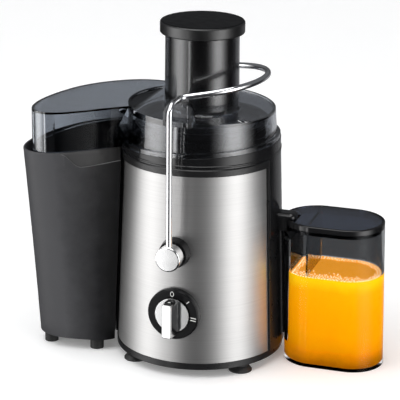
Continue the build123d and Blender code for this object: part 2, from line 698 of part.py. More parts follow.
Y_HUB = steel_r(Z_BAIL) + 8.8
with BuildPart() as bail_hubs:
    for f in (True, False):
        y0 = -Y_HUB if f else Y_HUB
        with BuildSketch(upright(y0, Z_BAIL, front=f)):
            Circle(12.2)
        extrude(amount=14.2)
        fillet(bail_hubs.faces().sort_by(Axis.Y)[0 if f else -1].edges(), radius=1.4)
        with BuildSketch(upright(-60 if f else 60, Z_BAIL, front=f)):
            Circle(R_SHAFT + 0.05)
        extrude(amount=40.0, mode=Mode.SUBTRACT)
        with BuildSketch(upright(y0 * 1.0 + (-12.2 if f else 12.2), Z_BAIL, front=f)):
            Circle(R_SHAFT + 0.05)
        extrude(amount=1.6)
        with BuildSketch(level(Z_BAIL + 11.0, 0, -Y_LEG if f else Y_LEG)):
            Circle(R_WIRE)
        extrude(amount=6, mode=Mode.SUBTRACT)
bail_hubs.part.label = "bail_hubs"
export_step(bail_hubs.part, "parts/bail_hubs.step")

# ---------------------------------------------------------------------- knob
Y_DIAL = -steel_r(Z_KNOB)
with BuildPart() as knob_bezel:
    with BuildSketch(upright(Y_DIAL + 5, Z_KNOB)):
        Circle(25.4)
    extrude(amount=9.2)
    chamfer(knob_bezel.faces().sort_by(Axis.Y)[0].edges(), length=1.2)
    turned((0, 20), (steel_r(20), 20), (steel_r(120), 120), (0, 120), start=-130, arc=80, mode=Mode.SUBTRACT)
    with BuildSketch(upright(-60, Z_KNOB)):
        Circle(9)
    extrude(amount=40, mode=Mode.SUBTRACT)
    with BuildSketch(upright(Y_DIAL - 2.8, Z_KNOB)):
        Circle(17.6)
    extrude(amount=8, mode=Mode.SUBTRACT)
knob_bezel.part.label = "knob_bezel"
export_step(knob_bezel.part, "parts/knob_bezel.step")

with BuildPart() as knob_shaft:
    with BuildSketch(upright(-57, Z_KNOB)):
        Circle(3.0)
    extrude(amount=-Y_DIAL - 57 + 4)
knob_shaft.part.label = "knob_shaft"
export_step(knob_shaft.part, "parts/knob_shaft.step")

BAR_TOP, BAR_LOW, BAR_TURN = 15.4, -19.6, -3.5
with BuildPart() as speed_knob:
    with BuildSketch(upright(Y_DIAL - 3.4, Z_KNOB)):
        Circle(16.8)
    extrude(amount=3.4)
    # bar grip, a little narrower towards its front
    with BuildSketch(upright(Y_DIAL - 6.6, Z_KNOB).rotated((0, 0, BAR_TURN))):
        with Locations((0, (BAR_TOP + BAR_LOW) / 2)):
            RectangleRounded(11.2, BAR_TOP - BAR_LOW, 2.4)
    extrude(amount=13.8, taper=3)
    fillet(speed_knob.faces().sort_by(Axis.Y)[0].edges(), radius=0.8)
    with BuildSketch(upright(-57, Z_KNOB)):
        Circle(3.0)
    extrude(amount=-Y_DIAL - 57 + 4, mode=Mode.SUBTRACT)
    # pocket for the pointer
    with BuildSketch(upright(Y_DIAL - 7.4, Z_KNOB).rotated((0, 0, BAR_TURN))):
        with Locations((0, BAR_TOP)):
            Rectangle(7.6, 3.6)
    extrude(amount=10.2, mode=Mode.SUBTRACT)
speed_knob.part.label = "speed_knob"
export_step(speed_knob.part, "parts/speed_knob.step")

with BuildPart() as knob_pointer:
    with BuildSketch(upright(Y_DIAL - 7.4, Z_KNOB).rotated((0, 0, BAR_TURN))):
        with Locations((0, BAR_TOP - 0.6)):
            Rectangle(7.5, 2.4)
    extrude(amount=10.1)
knob_pointer.part.label = "knob_pointer"
export_step(knob_pointer.part, "parts/knob_pointer.step")

# ------------------------------------------------------------------ pulp bin
with BuildPart() as pulp_bin:
    loft([bin_plan(Z_BIN, FOOT, R_GAP_LOW), bin_plan(Z_RIM, RIM, R_GAP)], ruled=True)
    loft([bin_plan(Z_BIN + 3, inset(FOOT, T_BIN)[1:-1], R_GAP_LOW + T_BIN),
          bin_plan(Z_RIM + 1, inset(RIM, T_BIN)[1:-1], R_GAP + T_BIN)], ruled=True, mode=Mode.SUBTRACT)
pulp_bin.part.label = "pulp_bin"
export_step(pulp_bin.part, "parts/pulp_bin.step")

with BuildPart() as bin_feet:
    for fx, fy in ((-96, -37), (-146, -34), (-142, 16), (-92, 48)):
        with BuildSketch(level(0, fx, fy)):
            Circle(6.8)
        extrude(amount=Z_BIN)
        with BuildSketch(level(0, fx, fy)):
            Circle(3.4)
        extrude(amount=1.2, mode=Mode.SUBTRACT)
bin_feet.part.label = "bin_feet"
export_step(bin_feet.part, "parts/bin_feet.step")

# ----------------------------------------------------------------- juice jug
JUG_CX0, JUG_L0, JUG_W0 = 134.3, 98.6, 64.0
JUG_CX1, JUG_L1, JUG_W1 = 130.9, 98.8, 69.4
T_JUG = 2.3


def jug_at(z, grow=0.0):
    k = z / Z_JUG
    return (JUG_CX0 + (JUG_CX1 - JUG_CX0) * k, JUG_L0 + (JUG_L1 - JUG_L0) * k + 2 * grow, JUG_W0 + (JUG_W1 - JUG_W0) * k + 2 * grow)


NOTCH_Y = SPOUT_Y     # the spout comes in here
NOTCH_W = 20.4
with BuildPart() as jug_inside:
    loft([slot(3.2, *jug_at(3.2, -T_JUG)), slot(Z_JUG + 1, *jug_at(Z_JUG + 1, -T_JUG))])
    with BuildSketch(level(17, 73, JUG_Y)):
        Rectangle(43.6, 90)
    extrude(amount=110, mode=Mode.SUBTRACT)

with BuildPart() as jug_body:
    loft([slot(0, *jug_at(0)), slot(Z_JUG, *jug_at(Z_JUG))])
    add(jug_inside.part, mode=Mode.SUBTRACT)
    # flat recess for the grip at the end that faces the body
    with BuildSketch(level(20, 72, JUG_Y)):
        Rectangle(41, 90)
    extrude(amount=104, mode=Mode.SUBTRACT)
    # lowered rim where the spout comes in
    with BuildSketch(level(131, 90, NOTCH_Y)):
        Rectangle(40, NOTCH_W)
    extrude(amount=20, mode=Mode.SUBTRACT)
jug_body.part.label = "jug_body"
export_step(jug_body.part, "parts/jug_body.step")

# tongue at the top of the grip, outside the jug's wall
with BuildPart() as jug_outer:
    loft([slot(110, *jug_at(110, 0.1)), slot(135, *jug_at(135, 0.1))])

with BuildPart() as grip_tongue:
    with BuildSketch(Plane((0, JUG_Y, 0), x_dir=(1, 0, 0), z_dir=(0, -1, 0))):
        with BuildLine():
            Polyline((AX + black_r(118) + 0.7, 118), (AX + black_r(130.6) + 0.7, 130.6), (AX + 84, 130.6), (AX + 84, 118), close=True)
        make_face()
    extrude(amount=10, both=True)
    add(jug_outer.part, mode=Mode.SUBTRACT)

with BuildPart() as jug_handle:
    loft([slot(20.3, *jug_at(20.3)), slot(123.7, *jug_at(123.7))])
    with BuildSketch(level(20, 140 + 92.3, JUG_Y)):
        Rectangle(280, 90)
    extrude(amount=110, mode=Mode.SUBTRACT)
    # spine that follows the side of the base
    with BuildSketch(Plane((0, JUG_Y, 0), x_dir=(1, 0, 0), z_dir=(0, -1, 0))):
        with BuildLine():
            Polyline((AX + black_r(24) + 0.7, 24), (AX + black_r(123.7) + 0.7, 123.7), (AX + 92.3, 123.7), (AX + 92.3, 24), close=True)
        make_face()
    extrude(amount=10, both=True)
    add(grip_tongue.part)
    # finger hollows on both flanks
    for side in (1, -1):
        with BuildSketch(Plane((AX + 84, JUG_Y + side * 24, 72), x_dir=(1, 0, 0), z_dir=(0, -side, 0))):
            SlotOverall(76, 9, rotation=90)
        extrude(amount=8, mode=Mode.SUBTRACT)
jug_handle.part.label = "jug_handle"
export_step(jug_handle.part, "parts/jug_handle.step")

Z_LID0 = Z_JUG + 0.3
LID_CX, LID_L, LID_W = jug_at(Z_JUG)


def jug_notch(z0, dz):
    """Open end of the jug's lid, where the spout reaches in."""
    with BuildSketch(level(z0, 82.6, NOTCH_Y)) as plan:
        Rectangle(31.2, NOTCH_W)
    extrude(plan.sketch, amount=dz, mode=Mode.SUBTRACT)


with BuildPart() as jug_lid_rim:
    extrude(slot(Z_LID0, LID_CX, LID_L, LID_W), amount=5.2)
    fillet(jug_lid_rim.faces().sort_by(Axis.Z)[-1].edges(), radius=1.2)
    extrude(slot(Z_LID0, LID_CX, LID_L - 4, LID_W - 4), amount=8, mode=Mode.SUBTRACT)
    jug_notch(Z_LID0 - 1, 12)
jug_lid_rim.part.label = "jug_lid_rim"
export_step(jug_lid_rim.part, "parts/jug_lid_rim.step")

with BuildPart() as jug_lid:
    extrude(slot(Z_LID0 + 1.0, LID_CX, LID_L - 4.1, LID_W - 4.1), amount=4.0)
    fillet(jug_lid.faces().sort_by(Axis.Z)[-1].edges(), radius=1.4)
    jug_notch(Z_LID0 - 1, 12)
jug_lid.part.label = "jug_lid"
export_step(jug_lid.part, "parts/jug_lid.step")

with BuildPart() as jug_lid_seal:
    extrude(slot(Z_JUG - 4.2, LID_CX, LID_L - 2 * T_JUG - 1.4, LID_W - 2 * T_JUG - 1.4), amount=4.5)
    extrude(slot(Z_JUG - 4.2, LID_CX, LID_L - 2 * T_JUG - 6, LID_W - 2 * T_JUG - 6), amount=8, mode=Mode.SUBTRACT)
    jug_notch(Z_JUG - 10, 16)
jug_lid_seal.part.label = "jug_lid_seal"
export_step(jug_lid_seal.part, "parts/jug_lid_seal.step")

with BuildPart() as foam_separator:
    with BuildSketch(Plane((AX + 110.5, JUG_Y, 0), x_dir=(0, 1, 0), z_dir=(1, 0, 0))):
        with Locations((0, 86.6)):
            RectangleRounded(52, 109.4, 9)
        with Locations((0, Z_LID0 - 1)):
            Rectangle(30, 4)
    extrude(amount=2)
foam_separator.part.label = "foam_separator"
export_step(foam_separator.part, "parts/foam_separator.step")
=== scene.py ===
import math
import random
import bpy
import bmesh
import numpy as np
from mathutils import Matrix, Vector


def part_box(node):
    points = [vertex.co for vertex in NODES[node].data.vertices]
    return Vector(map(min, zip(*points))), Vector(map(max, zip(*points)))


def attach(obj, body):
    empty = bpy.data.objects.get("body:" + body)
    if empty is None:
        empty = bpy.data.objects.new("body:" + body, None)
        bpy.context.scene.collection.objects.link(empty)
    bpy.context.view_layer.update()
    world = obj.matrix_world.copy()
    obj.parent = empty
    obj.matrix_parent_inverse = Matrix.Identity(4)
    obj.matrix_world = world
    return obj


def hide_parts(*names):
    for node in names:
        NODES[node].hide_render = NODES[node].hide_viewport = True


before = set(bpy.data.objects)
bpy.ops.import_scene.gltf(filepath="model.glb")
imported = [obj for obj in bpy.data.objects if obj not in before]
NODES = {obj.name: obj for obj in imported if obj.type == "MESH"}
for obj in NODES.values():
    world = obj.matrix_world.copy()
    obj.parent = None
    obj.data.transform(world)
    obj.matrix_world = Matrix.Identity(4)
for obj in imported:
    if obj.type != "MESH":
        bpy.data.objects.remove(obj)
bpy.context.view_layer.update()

AX = -0.01128          # motor axis in X
JUG_Y = 0.0146
rng = random.Random(7)


# ------------------------------------------------------------------ materials
class Mat:
    """A Principled material with small helpers for its detail nodes."""

    def __init__(self, name, color, rough, metallic=0.0, **sockets):
        self.m = bpy.data.materials.new(name)
        self.m.use_nodes = True
        self.nt = self.m.node_tree
        self.b = self.nt.nodes["Principled BSDF"]
        self.color, self.rough = color, rough
        self.b.inputs["Base Color"].default_value = (*color, 1)
        self.b.inputs["Roughness"].default_value = rough
        self.b.inputs["Metallic"].default_value = metallic
        for k, v in sockets.items():
            self.b.inputs[k.replace("_", " ")].default_value = v
        self.normal = None
        self._coord = None

    def node(self, kind, **props):
        n = self.nt.nodes.new(kind)
        for k, v in props.items():
            setattr(n, k, v)
        return n

    def link(self, a, b):
        self.nt.links.new(a, b)

    def coord(self):
        if self._coord is None:
            self._coord = self.node("ShaderNodeTexCoord").outputs["Object"]
        return self._coord

    def mapped(self, scale):
        n = self.node("ShaderNodeMapping")
        n.inputs["Scale"].default_value = scale
        self.link(self.coord(), n.inputs["Vector"])
        return n.outputs["Vector"]

    def noise(self, scale, detail=3.0, roughness=0.55, vector=None):
        n = self.node("ShaderNodeTexNoise")
        n.inputs["Scale"].default_value = scale
        n.inputs["Detail"].default_value = detail
        n.inputs["Roughness"].default_value = roughness
        self.link(vector or self.coord(), n.inputs["Vector"])
        return n.outputs["Fac"]

    def spread(self, fac, lo, hi, f0=0.3, f1=0.7):
        n = self.node("ShaderNodeMapRange")
        n.inputs["From Min"].default_value = f0
        n.inputs["From Max"].default_value = f1
        n.inputs["To Min"].default_value = lo
        n.inputs["To Max"].default_value = hi
        self.link(fac, n.inputs["Value"])
        return n.outputs["Result"]

    def ramp(self, fac, *stops):
        n = self.node("ShaderNodeValToRGB")
        els = n.color_ramp.elements
        while len(els) < len(stops):
            els.new(0.5)
        for e, (p, c) in zip(els, stops):
            e.position = p
            e.color = (*c, 1)
        self.link(fac, n.inputs["Fac"])
        return n.outputs["Color"]

    def mottle(self, fac, amount):
        """Base colour that varies by the given share."""
        a = tuple(c * (1 - amount) for c in self.color)
        b = tuple(min(1.0, c * (1 + amount)) for c in self.color)
        self.link(self.ramp(fac, (0.3, a), (0.7, b)), self.b.inputs["Base Color"])
        return self

    def roughen(self, fac, amount):
        self.link(self.spread(fac, max(0.0, self.rough - amount), min(1.0, self.rough + amount)), self.b.inputs["Roughness"])
        return self

    def soften(self, radius):
        """Edges catch the light as if they were rounded."""
        n = self.node("ShaderNodeBevel", samples=6)
        n.inputs["Radius"].default_value = radius
        self.normal = n.outputs["Normal"]
        self.link(self.normal, self.b.inputs["Normal"])
        return self

    def bump(self, fac, strength, distance):
        n = self.node("ShaderNodeBump")
        n.inputs["Strength"].default_value = strength
        n.inputs["Distance"].default_value = distance
        self.link(fac, n.inputs["Height"])
        if self.normal is not None:
            self.link(self.normal, n.inputs["Normal"])
        self.normal = n.outputs["Normal"]
        self.link(self.normal, self.b.inputs["Normal"])
        return self


def plastic(name, color, rough, grain, depth, edge=0.0005, mottle=0.12, wear=0.05, **sockets):
    """Moulded plastic: spark-eroded grain, faint mottling and handling marks."""
    m = Mat(name, color, rough, **sockets)
    m.soften(edge)
    m.mottle(m.noise(38, 4), mottle)
    m.roughen(m.noise(120, 5, 0.65), wear)
    m.bump(m.noise(grain, 2, 0.5), 0.5, depth)
    return m.m


def metal(name, color, rough, streak, amount, edge=0.0004, mottle=0.06, depth=0.00001, **sockets):
    """Worked metal with streaks along the given directions."""
    m = Mat(name, color, rough, 1.0, **sockets)
    m.soften(edge)
    lines = m.noise(1.0, 4, 0.6, m.mapped(streak))
    m.mottle(lines, mottle)
    m.roughen(lines, amount)
    m.bump(lines, 0.35, depth)
    return m.m


def clear(name, color, rough=0.025, ior=1.49, coat=0.8, coat_rough=0.02, **sockets):
    """Tinted clear plastic with faint flow marks and hairline scuffs."""
    m = Mat(name, color, rough, Transmission_Weight=1.0, IOR=ior, Coat_Weight=coat, Coat_IOR=1.9, Coat_Roughness=coat_rough, **sockets)
    flow = m.noise(9, 2, 0.5)
    m.mottle(flow, 0.05)
    scuff = m.noise(150, 4, 0.6)
    m.link(m.spread(scuff, 0.004, rough, 0.45, 0.85), m.b.inputs["Roughness"])
    m.bump(m.noise(16, 1, 0.5), 0.05, 0.0002)
    return m.m


def steel():
    m = Mat("brushed_steel", (0.50, 0.495, 0.49), 0.37, 1.0, Anisotropic=0.5)
    fine = m.noise(1.0, 3, 0.6, m.mapped((6, 6, 2200)))
    broad = m.noise(1.0, 3, 0.6, m.mapped((4, 4, 800)))
    m.mottle(fine, 0.06)
    m.link(m.spread(broad, 0.355, 0.385), m.b.inputs["Roughness"])
    t = m.node("ShaderNodeTangent", direction_type="RADIAL", axis="Z")
    m.link(t.outputs["Tangent"], m.b.inputs["Tangent"])
    m.bump(fine, 0.15, 0.000004)
    return m.m


def jug_clear():
    """Smoked above the juice and darkened towards the back there as painted shade; nearly clear below it."""
    m = Mat("smoke_jug", (0.42, 0.45, 0.49), 0.02, Transmission_Weight=1.0, IOR=1.12)
    sep = m.node("ShaderNodeSeparateXYZ")
    m.link(m.coord(), sep.inputs["Vector"])
    h = m.spread(sep.outputs["Z"], 0.0, 1.0, 0.0934, 0.0942)
    # painted shade: above the juice the smoke darkens towards the back of the jug
    painted_back_shade = m.ramp(m.spread(sep.outputs["Y"], 0.0, 1.0, -0.012, 0.040), (0.0, (0.45, 0.46, 0.475)), (1.0, (0.12, 0.125, 0.13)))
    mix = m.node("ShaderNodeMix", data_type="RGBA")
    m.link(h, mix.inputs["Factor"])
    mix.inputs[6].default_value = (0.99, 0.98, 0.96, 1)
    m.link(painted_back_shade, mix.inputs[7])
    m.link(mix.outputs[2], m.b.inputs["Base Color"])
    scuff = m.noise(1.0, 3, 0.6, m.mapped((60, 60, 420)))
    m.link(m.spread(scuff, 0.006, 0.04, 0.35, 0.8), m.b.inputs["Roughness"])
    m.bump(m.noise(24, 2, 0.5), 0.1, 0.0002)
    return m.m


def fold_clear_painted_shade():
    """The cover's front wall, darkened towards its fold beside the drum as painted shade."""
    m = Mat("smoke_fold_shaded", (0.53, 0.56, 0.605), 0.025, Transmission_Weight=1.0, IOR=1.16)
    sep = m.node("ShaderNodeSeparateXYZ")
    m.link(m.coord(), sep.inputs["Vector"])
    # painted shade: the tint darkens towards the fold beside the drum
    t = m.spread(sep.outputs["X"], 0.0, 1.0, AX - 0.118, AX - 0.062)
    m.link(m.ramp(t, (0.0, (0.53, 0.56, 0.605)), (0.5, (0.27, 0.29, 0.315)), (0.8, (0.12, 0.13, 0.14)), (1.0, (0.05, 0.053, 0.058))), m.b.inputs["Base Color"])
    scuff = m.noise(150, 4, 0.6)
    m.link(m.spread(scuff, 0.004, 0.025, 0.45, 0.85), m.b.inputs["Roughness"])
    m.bump(m.noise(16, 1, 0.5), 0.05, 0.0002)
    return m.m


def drum_clear():
    """The drum, darkened as painted shade and duller in the fold beside the cover."""
    m = Mat("smoke_drum", (0.40, 0.42, 0.455), 0.025, Transmission_Weight=1.0, IOR=1.49, Coat_Weight=0.65, Coat_IOR=1.9, Coat_Roughness=0.02)
    sep = m.node("ShaderNodeSeparateXYZ")
    m.link(m.coord(), sep.inputs["Vector"])
    x = sep.outputs["X"]
    # painted shade: the drum's tint turns dark in the fold beside the cover
    m.link(m.ramp(m.spread(x, 0.0, 1.0, AX - 0.0560, AX - 0.0525), (0.0, (0.06, 0.064, 0.07)), (1.0, (0.40, 0.42, 0.455))), m.b.inputs["Base Color"])
    m.link(m.spread(x, 0.0, 0.65, AX - 0.0560, AX - 0.0525), m.b.inputs["Coat Weight"])
    m.link(m.spread(x, 1.14, 1.49, AX - 0.0560, AX - 0.0525), m.b.inputs["IOR"])
    scuff = m.noise(150, 4, 0.6)
    m.link(m.spread(scuff, 0.004, 0.025, 0.45, 0.85), m.b.inputs["Roughness"])
    m.bump(m.noise(16, 1, 0.5), 0.05, 0.0002)
    return m.m


M = {
    "steel": steel(),
    "chrome": metal("chrome", (0.86, 0.86, 0.87), 0.06, (30, 30, 300), 0.025, mottle=0.03, depth=0.000004),
    "hub": metal("turned_hub", (0.95, 0.95, 0.95), 0.14, (40, 40, 40), 0.02, mottle=0.02, depth=0.0),
    "knob_chrome": metal("satin_chrome", (0.68, 0.68, 0.68), 0.16, (40, 40, 40), 0.02, mottle=0.02, depth=0.0),
    "black": plastic("black_satin", (0.008, 0.008, 0.0085), 0.30, 1500, 0.00003),
    # the cap's side and top materials are lit and shaded copies of one black: strong reflection on the side, weak on
    # top
    "cap": plastic("black_cap", (0.0034, 0.0034, 0.0036), 0.34, 1900, 0.00003, edge=0.0011, Specular_IOR_Level=0.85),
    "cap_top_shaded": plastic("black_cap_top", (0.0034, 0.0034, 0.0036), 0.36, 1900, 0.00003, edge=0.0011, Specular_IOR_Level=0.10),
    "gloss": plastic("black_gloss", (0.006, 0.006, 0.0065), 0.13, 700, 0.00001, wear=0.04),
    "bezel": plastic("black_bezel", (0.005, 0.005, 0.0055), 0.25, 700, 0.00001, wear=0.04, Specular_IOR_Level=0.15),
    "push": plastic("black_pusher", (0.006, 0.006, 0.007), 0.24, 700, 0.00002, wear=0.05),
    "rubber": plastic("rubber", (0.014, 0.014, 0.014), 0.62, 1100, 0.00006, wear=0.1),
    "smoke": clear("smoke_lid", (0.53, 0.56, 0.605), coat=0.65),
    "smoke_fold_shaded": fold_clear_painted_shade(),
    "smoke_floor": clear("smoke_floor", (0.10, 0.105, 0.115), coat=0.0, ior=1.12),
    "smoke_drum": drum_clear(),
    "smoke_jug": jug_clear(),
    "smoke_plate": clear("smoke_plate", (0.40, 0.43, 0.46), coat=0.0),
    "smoke_dark": clear("smoke_jug_lid", (0.085, 0.108, 0.17), coat=0.2),
    "smoke_chute": clear("smoke_chute", (0.10, 0.105, 0.115), rough=0.26, coat=0.5, coat_rough=0.24),
    "zinc": metal("zinc_screw", (0.62, 0.63, 0.66), 0.35, (500, 500, 500), 0.08),
    "lamination": metal("lamination", (0.20, 0.20, 0.22), 0.45, (4, 4, 2000), 0.1, mottle=0.35, depth=0.00005),
    "copper": metal("copper_wire", (0.72, 0.33, 0.16), 0.3, (4, 4, 1400), 0.1, mottle=0.3, depth=0.0001),
    "bronze": metal("bearing_bronze", (0.55, 0.36, 0.16), 0.42, (300, 300, 300), 0.1),
    "carbon": plastic("carbon", (0.012, 0.012, 0.013), 0.5, 900, 0.00005),
    "inner_steel": metal("inner_steel", (0.58, 0.58, 0.60), 0.26, (300, 300, 900), 0.08, mottle=0.12),
}


def perforated():
    """Fine etched sieve: rows of small dark holes in bright steel."""
    m = Mat("filter_steel", (0.6, 0.6, 0.62), 0.28, 1.0)
    v = m.node("ShaderNodeTexVoronoi", feature="DISTANCE_TO_EDGE")
    v.inputs["Scale"].default_value = 1100
    v.inputs["Randomness"].default_value = 0.15
    m.link(m.coord(), v.inputs["Vector"])
    d = v.outputs["Distance"]
    m.link(m.ramp(d, (0.22, (0.62, 0.62, 0.64)), (0.34, (0.03, 0.03, 0.03))), m.b.inputs["Base Color"])
    m.link(m.spread(d, 0.22, 0.6, 0.2, 0.4), m.b.inputs["Roughness"])
    m.bump(d, 0.4, 0.0001)
    return m.m


def white_print():
    m = Mat("white_print", (0.82, 0.82, 0.80), 0.42)
    m.mottle(m.noise(900, 3), 0.06)
    m.roughen(m.noise(600, 2), 0.08)
    m.bump(m.noise(2500, 2), 0.3, 0.00001)
    return m.m


# Juice that glows through emission as painted light; its colour darkens towards the bottom as painted shade, with a
# random cloud over it.
def juice_mat(name, painted_glow, stops):
    m = Mat(name, (1.0, 0.38, 0.003), 0.3, Subsurface_Weight=0.3, Subsurface_Scale=0.006, IOR=1.35, Specular_IOR_Level=0.06, Emission_Strength=painted_glow)
    m.b.inputs["Subsurface Radius"].default_value = (1.0, 0.45, 0.08)
    sep = m.node("ShaderNodeSeparateXYZ")
    m.link(m.coord(), sep.inputs["Vector"])
    h = m.spread(sep.outputs["Z"], 0.0, 1.0, 0.0, 0.095)
    cloud = m.node("ShaderNodeMath", operation="ADD")
    m.link(m.spread(m.noise(42, 5, 0.6), -0.03, 0.03), cloud.inputs[0])
    m.link(h, cloud.inputs[1])
    cloud_and_painted_shade = m.ramp(cloud.outputs["Value"], *stops)
    m.link(cloud_and_painted_shade, m.b.inputs["Emission Color"])
    m.link(cloud_and_painted_shade, m.b.inputs["Base Color"])
    m.roughen(m.noise(300, 3), 0.06)
    m.bump(m.noise(500, 3), 0.25, 0.0002)
    return m.m


# Foam that glows through emission as painted light.
def foam_mat(name, painted_glow):
    m = Mat(name, (0.98, 0.72, 0.30), 0.18, Subsurface_Weight=0.2, Subsurface_Scale=0.002, IOR=1.34, Coat_Weight=0.6, Emission_Strength=painted_glow)
    m.b.inputs["Emission Color"].default_value = (1.0, 0.84, 0.52, 1)
    m.link(m.ramp(m.noise(700, 3), (0.35, (0.97, 0.62, 0.16)), (0.7, (1.0, 0.90, 0.66))), m.b.inputs["Base Color"])
    m.roughen(m.noise(900, 2), 0.06)
    m.bump(m.noise(1500, 2), 0.2, 0.00005)
    return m.m


def bin_mat(name, rough, grain, depth, edge, shaded_near, lit_far):
    """Grained plastic with painted light: paler towards the bin's outer end, darker next to the body as painted shade.
    """
    m = Mat(name, shaded_near, rough, Specular_IOR_Level=0.3)
    m.soften(edge)
    sep = m.node("ShaderNodeSeparateXYZ")
    m.link(m.coord(), sep.inputs["Vector"])
    painted_light_along = m.spread(sep.outputs["X"], 0.0, 1.0, -0.165, -0.09)
    cloud = m.noise(60, 4)
    mix = m.node("ShaderNodeMath", operation="MULTIPLY_ADD")
    m.link(m.spread(cloud, -0.05, 0.05), mix.inputs[0])
    mix.inputs[1].default_value = 1.0
    m.link(painted_light_along, mix.inputs[2])
    m.link(m.ramp(mix.outputs["Value"], (0.0, tuple(c * 0.8 for c in lit_far)), (0.42, lit_far), (0.9, shaded_near), (1.0, tuple(c * 0.5 for c in shaded_near))), m.b.inputs["Base Color"])
    m.roughen(m.noise(120, 5, 0.65), 0.05)
    m.bump(m.noise(grain, 2, 0.5), 0.5, depth)
    return m.m


# the bin's wall and band carry painted light towards the outer end and painted shade next to the body
M["bin"] = bin_mat("bin_grained", 0.46, 1700, 0.00006, 0.0010, (0.009, 0.009, 0.0102), (0.062, 0.062, 0.066))
M["bin_band"] = bin_mat("bin_band", 0.36, 1200, 0.00002, 0.0004, (0.026, 0.025, 0.0245), (0.052, 0.052, 0.054))
M["bin_edge_painted_highlight"] = plastic("bin_edge_painted_highlight", (0.11, 0.11, 0.11), 0.4, 1200, 0.00002)
M["mesh"] = perforated()
M["print"] = white_print()
# the juice runs dark at the bottom as painted shade and pale just under the surface, and it glows as painted light
M["juice"] = juice_mat("orange_juice", 0.56, ((0.0, (0.25, 0.07, 0.0)), (0.06, (0.34, 0.105, 0.0)), (0.12, (0.53, 0.17, 0.0)), (0.2, (0.71, 0.25, 0.0)),
                                               (0.35, (0.86, 0.315, 0.0)), (0.6, (0.94, 0.345, 0.0)), (0.85, (0.97, 0.39, 0.001)), (0.96, (1.0, 0.56, 0.004))))
# the juice surface glows more strongly still, as painted light
M["juice_top"] = juice_mat("juice_surface", 1.5, ((0.0, (1.0, 0.36, 0.02)), (1.0, (1.0, 0.38, 0.03))))
M["foam"] = foam_mat("juice_foam", 1.7)
M["foam_back"] = foam_mat("juice_foam_back", 1.7)

LOOK = {
    "base_plate": "black", "base_feet": "rubber", "base_screws": "zinc", "motor_housing": "black", "steel_wrap": "steel",
    "top_collar": "black", "cord_gland": "rubber", "stator_core": "lamination", "field_coils": "copper",
    "lower_bracket": "zinc", "upper_bracket": "zinc", "motor_bolts": "zinc", "motor_dampers": "rubber",
    "motor_bearings": "bronze", "brush_holders": "black", "carbon_brushes": "carbon", "shaft_seal": "rubber",
    "speed_switch": "black", "safety_switch": "black", "juice_collector": "gloss", "juice_spout": "gloss", "lid": "smoke", "bail_bushes": "bezel",
    "bail_pins": "chrome", "knob_bezel": "bezel", "motor_shaft": "inner_steel", "armature_core": "lamination",
    "armature_windings": "copper", "commutator": "copper", "cooling_fan": "black", "drive_coupling": "black",
    "basket_frame": "black", "filter_mesh": "mesh", "grater_disc": "inner_steel", "bail_wire": "chrome",
    "bail_hubs": "hub", "knob_shaft": "inner_steel", "speed_knob": "knob_chrome", "knob_pointer": "gloss",
    "pusher_body": "push", "pusher_cap": "cap", "pulp_bin": "bin", "bin_feet": "rubber", "jug_body": "smoke_jug",
    "jug_handle": "black", "jug_lid_rim": "gloss", "jug_lid": "smoke_dark", "jug_lid_seal": "gloss",
    "foam_separator": "smoke_plate",
}
for name, key in LOOK.items():
    o = NODES[name]
    o.data.materials.clear()
    o.data.materials.append(M[key])

# the feed chute is tinted more deeply than the rest of the lid
NODES["lid"].data.materials.append(M["smoke_chute"])
NODES["lid"].data.materials.append(M["smoke_drum"])
NODES["lid"].data.materials.append(M["smoke_fold_shaded"])
NODES["lid"].data.materials.append(M["smoke_floor"])
for p in NODES["lid"].data.polygons:
    r = math.hypot(p.center.x - AX, p.center.y)
    chute = (p.center.z > 0.2525 and r < 0.0385) or (r < 0.0335 and p.center.z > 0.24)
    reach = max(math.hypot(v.co.x - AX, v.co.y) for v in (NODES["lid"].data.vertices[i] for i in p.vertices))
    # the drum and the cover's front wall carry painted shade where they fold together
    drum = r < 0.0772 and reach < 0.0776
    fold = AX - 0.121 < p.center.x < AX - 0.056 and p.center.y < -0.03 and abs(p.normal.z) < 0.5 and r > 0.0774
    floor = p.center.x < AX - 0.05 and 0.2165 < p.center.z < 0.2225 and abs(p.normal.z) > 0.5
    p.material_index = 1 if chute else 2 if drum else 3 if fold else 4 if floor else 0


# the pusher's cap gets a shaded copy of its material on top, with weak reflection as painted shade, while its side
# keeps a lit copy with strong reflection; the pulp duct inside the cover is duller
NODES["pusher_cap"].data.materials.append(M["cap_top_shaded"])
for p in NODES["pusher_cap"].data.polygons:
    p.material_index = 1 if p.normal.z > 0.8 else 0
NODES["juice_collector"].data.materials.append(M["bezel"])
for p in NODES["juice_collector"].data.polygons:
    p.material_index = 1 if p.center.x < AX - 0.06 else 0

# the jug's clear wall where it frames the grip is made black gloss as painted shade of the dark gap there
NODES["jug_body"].data.materials.append(M["gloss"])
for p in NODES["jug_body"].data.polygons:
    if p.center.x < AX + 0.0931 and 0.0192 < p.center.z < 0.1245:
        p.material_index = 1


# --------------------------------------------------------------------- pieces
def piece(name, bm, mat, body, smooth=40):
    """A finished mesh as a named piece that rides on a body."""
    bmesh.ops.recalc_face_normals(bm, faces=bm.faces)
    me = bpy.data.meshes.new(name)
    bm.to_mesh(me)
    bm.free()
    o = bpy.data.objects.new(name, me)
    bpy.context.scene.collection.objects.link(o)
    me.materials.append(mat)
    if smooth:
        for p in me.polygons:
            p.use_smooth = True
        me.set_sharp_from_angle(angle=math.radians(smooth))
    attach(o, body)
    return o


